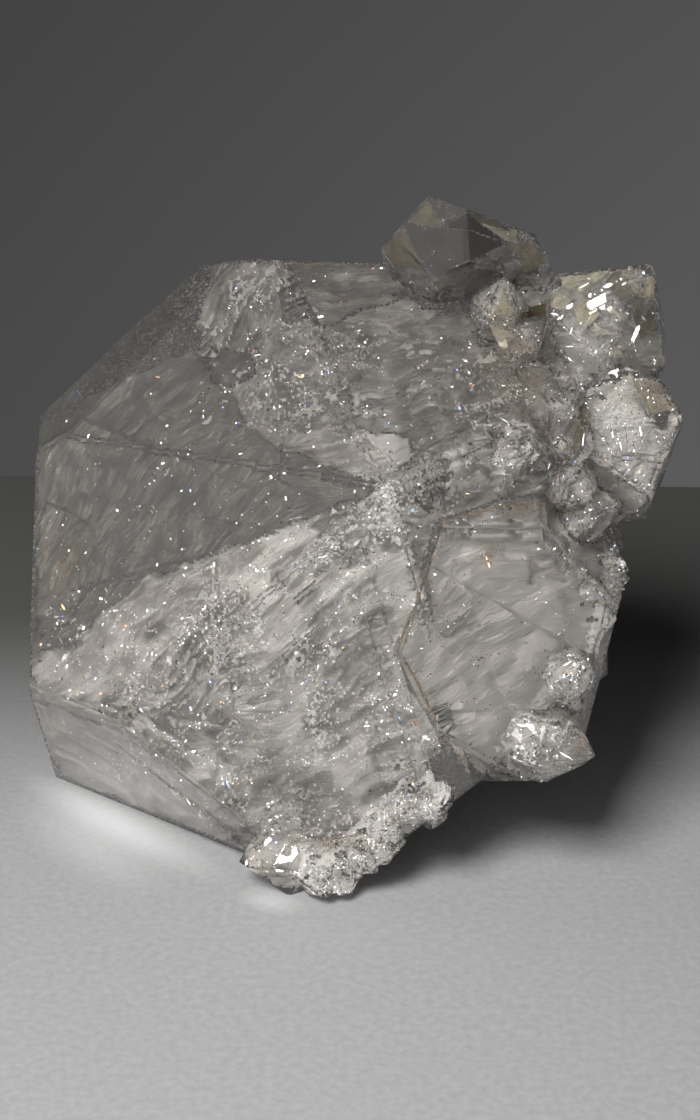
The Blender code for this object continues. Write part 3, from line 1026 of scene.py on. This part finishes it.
def veil(name, maps, seed, nearest, drop, least):
    """A rippled milky sheet, near the surface where the haze is dense, toned as the photograph."""
    dense, light, rough = maps
    ripple = streak_map(VEIL_RIPPLES, seed)
    deep = nearest + drop * (1 - dense) + ripple * drop / VEIL_RIPPLE_DROP
    deep = np.minimum(np.maximum(deep, VEIL_NEAREST), ray_spans / 2) * MM
    points = ray_hits + ray_ways * deep[:, :, None]
    index = np.full(map_x.shape, -1)
    vertices = []
    for row, column in np.argwhere((dense > least) & (ray_spans > THINNEST)):
        point = Vector(points[row, column])
        if is_inside(point, VEIL_MARGIN * MM):
            index[row, column] = len(vertices)
            vertices.append(point)
    ring = cell_corners(index)
    faces = [corners for corners in ring[(ring >= 0).all(axis=-1)].tolist()
             if (vertices[corners[0]] - vertices[corners[2]]).length < VEIL_TEAR * MM]
    mesh = mesh_piece(name, vertices, faces, (veil_look,), [0] * len(faces), smooth=True)
    kept = index >= 0
    stops = np.linspace(0, 1, LEVELS)
    shades = np.array([linear(*shade) for shade in LEVEL_SHADES])
    tones = np.stack([np.interp(light[kept], stops, shades[:, part]) for part in range(4)], axis=-1)
    stain = STAIN_MOST * stain_map()[kept][:, None]
    tones = tones * (1 - stain) + np.array(linear(*STAIN_SHADE)) * stain
    places = np.stack([flow_along[kept] * PIXEL_SPAN, flow_across[kept] * PIXEL_SPAN,
                       np.full(kept.sum(), seed)], axis=-1)
    patches = PATCH_MIDDLE + cloud_map((PATCH_SHARE, PATCH_SIZE, seed + PATCH_SEED))
    patches = np.clip(patches, PATCH_LEAST, 1.0)
    for label, kind, field, values in (("tone", "FLOAT_COLOR", "color", tones),
                                       ("grain", "FLOAT", "value", (rough * patches)[kept]),
                                       ("flow_place", "FLOAT_VECTOR", "vector", places)):
        mesh.attributes.new(label, kind, "POINT").data.foreach_set(field, values.ravel())


def haze_piece(name, points, normals, lengths, light, mixing, glints):
    """Flakes with the shades that their lightness asks for, and a share of mirror-like ones."""
    sizes = drawn_sizes(lengths, HAZE_SLIMNESS, len(points))
    slots = level_at(light, mixing)
    slots[random_numbers.uniform(size=len(points)) < glints] = LEVELS
    flake_piece(name, points, normals, sizes, slots, haze_levels + [glint], THREE_CORNERS)


def haze_flakes(name, maps, count, depths, lengths):
    """Fine flakes that make the quartz milky, light or dim as the photograph is."""
    dense, light, rough = maps
    points, _, _, picks = scattered(dense, count, depths)
    rough = rough.ravel()[picks]
    least, more = HAZE_TURN
    normals = tilted([TOWARD_CAMERA] * len(points), least + more * rough[:, None])
    light = light.ravel()[picks]
    haze_piece(name, points, normals, lengths, light, MIXING * rough, HAZE_GLINTS * rough)


def dense_at(point):
    """How dense the fractures are on the pixel that shows a point, or 0 outside the maps."""
    away = point - CAMERA_PLACE
    scale = FOCAL_PIXELS / away.dot(FORWARD)
    column = round((PHOTO_WIDTH / 2 + away.dot(RIGHTWARD) * scale - map_x[0, 0]) / MAP_STEP)
    row = round((PHOTO_HEIGHT / 2 - away.dot(UPWARD) * scale - map_y[0, 0]) / MAP_STEP)
    if 0 <= row < density.shape[0] and 0 <= column < density.shape[1]:
        return density[row, column]
    return 0


def haze_all_round(name, count, depths, lengths):
    """The same flakes under the sides, the back and the top, which the photograph doesn't show."""
    cluster.data.calc_loop_triangles()
    parts = cluster.data.loop_triangles
    facing = np.array([part.normal.dot(TOWARD_CAMERA) for part in parts])
    areas = np.array([part.area for part in parts])
    areas *= np.clip((HIDDEN_FROM_CAMERA - facing) / HIDDEN_FADE, 0, 1)
    points = []
    ways = []
    for pick in random_numbers.choice(len(areas), size=count, p=areas / areas.sum()):
        normal = parts[pick].normal
        a, b, c = (cluster.data.vertices[index].co for index in parts[pick].vertices)
        first, second = np.sort(random_numbers.uniform(size=2))
        surface = a * first + b * (second - first) + c * (1 - second)
        point = surface - normal * random_numbers.uniform(*depths) * MM
        behind_window = 0 < dense_at(point) < WINDOW_DENSITY
        if not is_inside(point, depths[0] * MM):
            continue
        if behind_window and random_numbers.uniform() > WINDOW_KEPT:
            continue
        points.append(point)
        ways.append(normal)
    light = [sum((share * noise.noise(point * scale) for share, scale in HIDDEN_CLOUDS), HIDDEN_LIGHT)
             for point in points]
    haze_piece(name, points, tilted(ways, HIDDEN_TURN), lengths, np.array(light), MIXING, HIDDEN_GLINTS)


def painted_inner_facets(name, depth):
    """Flat facets inside the clear crystals, in painted shades of the reflections and shade they show.
    """
    vertices = []
    faces = []
    slots = []
    for corners, light in INNER_FACETS:
        points = [beneath(pixel_direction(px, py), depth * MM) for px, py in corners]
        points = [point for point in points if point is not None]
        if len(points) > 2:
            faces.append(list(range(len(vertices), len(vertices) + len(points))))
            vertices.extend(points)
            slots.append(round(light * (LEVELS - 1)))
    mesh_piece(name, vertices, faces, facet_painted_levels, slots)


def cracks(name, depth):
    """Bright cleavage cracks, each turned to send the key light to the camera."""
    rows = []
    looks = {"glint": glint, "sheen": sheen, "blue": blue, "orange": orange}
    for x0, y0, x1, y1, wide, *coloured in CRACKS + COLOURED_CRACKS:
        ray = pixel_direction((x0 + x1) / 2, (y0 + y1) / 2)
        ends = [entry(pixel_direction(*pixel)) for pixel in ((x0, y0), (x1, y1))]
        point = beneath(ray, depth * MM)
        if point is None or None in ends:
            continue
        width = wide * CRACK_WIDTH * PIXEL_SPAN * MM
        look = coloured[0] if coloured else "sheen" if width > SHEEN_FROM * MM else "glint"
        normal = mirror_way(ray) + Vector(random_numbers.normal(size=3) * CRACK_SWAY)
        size = (math.hypot(x1 - x0, y1 - y0) * PIXEL_SPAN * MM, width)
        rows.append((point, normal, size, list(looks).index(look), ends[1][0] - ends[0][0]))
    points, normals, sizes, slots, ways = zip(*rows)
    sizes = np.transpose(sizes)
    flake_piece(name, points, normals, sizes, slots, looks.values(), FOUR_CORNERS, np.array(ways))


def sparkles(name, weights, count, depths, lengths, spread):
    """Mirror-like flakes turned so that many of them catch the key light."""
    points, right, down, _ = scattered(weights, count, depths)
    ways = [mirror_way(pixel_direction(px, py)) for px, py in zip(right, down)]
    normals = tilted(ways, spread)
    sizes = drawn_sizes(lengths, SPARKLE_SLIMNESS, len(points))
    slots = np.searchsorted(SPARKLE_COLOURS, random_numbers.uniform(size=len(points)))
    flake_piece(name, points, normals, sizes, slots, (glint, blue, orange), FOUR_CORNERS)


def clay(name):
    """Brown clay grains just under the surface, along the seams and in the stained patches."""
    pixels = []
    for line, count in SEAMS.values():
        joints = np.array(line, dtype=float)
        shares = random_numbers.uniform(0, len(line) - 1, count)
        first = np.floor(shares).astype(int)
        along = (shares - first)[:, None]
        pixels.append(joints[first] * (1 - along) + joints[first + 1] * along
                      + random_numbers.normal(size=(count, 2)) * SEAM_SPREAD)
    for middle, half_wide, half_high, count in STAINS:
        spread = (half_wide / 2, half_high / 2)
        pixels.append(np.array(middle) + random_numbers.normal(size=(count, 2)) * spread)
    points = []
    normals = []
    for px, py in np.concatenate(pixels):
        ray = pixel_direction(px, py)
        point = beneath(ray, random_numbers.uniform(*CLAY_DEPTHS) * MM)
        if point is not None:
            points.append(point)
            normals.append(entry(ray)[1])
    normals = tilted(normals, CLAY_TURN)
    sizes = drawn_sizes(CLAY_LENGTHS, CLAY_SLIMNESS, len(points))
    slots = random_numbers.integers(0, 2, len(points))
    flake_piece(name, points, normals, sizes, slots, (clay_light, clay_dark), FOUR_CORNERS)


# ---- the build

make_camera()
make_stage()
make_world()
for name, lamp in LAMPS.items():
    area_lamp(name, *lamp)
bpy.context.scene.view_settings.view_transform = "Standard"

cluster.data.materials.clear()
cluster.data.materials.append(quartz_material())
glint = flake_material("glint", (200, 200, 200), (250, 250, 250), 1.0, 0.12)
sheen = flake_material("sheen", (120, 116, 108), (200, 196, 187), 0.45, 0.5)
blue = flake_material("glint_blue", (120, 150, 230), (170, 200, 255), 1.0, 0.15)
orange = flake_material("glint_orange", (230, 150, 90), (255, 210, 150), 1.0, 0.15)
silk = flake_material("silk", (200, 196, 190), (245, 242, 238), 0.4, 0.2)
haze_levels = []
facet_painted_levels = []
for number, (shade, facet_painted_shade) in enumerate(zip(LEVEL_SHADES, FACET_PAINTED_SHADES)):
    dimmer = [value * HAZE_DIMMER for value in shade]
    haze_levels.append(flake_material(f"haze_{number}", dimmer, shade, 0.0, 0.5))
    # Painted reflection and shade: lighter and darker copies of one facet material.
    dimmer = [value * FACET_DIMMER for value in facet_painted_shade]
    facet_painted_levels.append(flake_material(f"painted_facet_{number}", dimmer, facet_painted_shade, 0.0, 0.3))
clay_light = flake_material("clay_light", (150, 126, 92), (185, 160, 122), 0.0, 0.8)
clay_dark = flake_material("clay_dark", (92, 70, 46), (130, 102, 70), 0.0, 0.8)
veil_look = veil_material()

flow_rises = flow_map()
flow_along, flow_across = turned(*bent(*BEND), flow_rises)
density, lightness, grain = zone_maps(ZONES)
small_maps = zone_maps(SMALL_ZONES)
small_density, small_lightness, small_grain = small_maps
bands = band_map()
streaks = np.clip(STREAK_MIDDLE + streak_map(SPARKLE_STREAKS), *STREAK_LIMITS)
ray_hits, ray_ways, ray_spans = crossing_maps()

ribbon_widths = RIBBON_WIDTH * (RIBBON_HAZE * density * lightness * grain + RIBBON_BANDS * bands)
sheets("ribbons", [ribbon_layer(*ribbon, ribbon_widths) for ribbon in RIBBONS], (silk,))
veil("veil", (density, lightness, grain), seed=3.5, nearest=3.0, drop=9.0, least=0.3)
veil("small_veil", small_maps, seed=6.5, nearest=2.2, drop=3.0, least=0.4)
sheets("plates", [plate_layer() for _ in range(PLATES)], haze_levels + [silk])
haze_flakes("haze_flakes", (density * grain, lightness, grain), 18000,
            depths=(0.8, 4.0), lengths=(0.12, 0.35))
haze_flakes("small_haze", small_maps, 12000, depths=(0.4, 4.0), lengths=(0.15, 0.4))
haze_all_round("hidden_haze", 90000, depths=(0.8, 9.0), lengths=(0.3, 0.9))
painted_inner_facets("painted_inner_facets", depth=1.2)
cracks("cleavage_cracks", depth=0.7)
band_weights = bands * streaks ** 3
sparkles("band_sparkles", band_weights, 2600, depths=(0.4, 4.0), lengths=(0.15, 0.7), spread=0.13)
fine_weights = density * grain * lightness * streaks ** 4
sparkles("fine_sparkles", fine_weights, 4500, depths=(0.3, 2.5), lengths=(0.1, 0.3), spread=0.11)
small_weights = small_density * small_grain * small_lightness
sparkles("small_sparkles", small_weights, 4000, depths=(0.2, 2.0), lengths=(0.1, 0.4), spread=0.12)
clay("seam_clay")

bpy.context.view_layer.update()
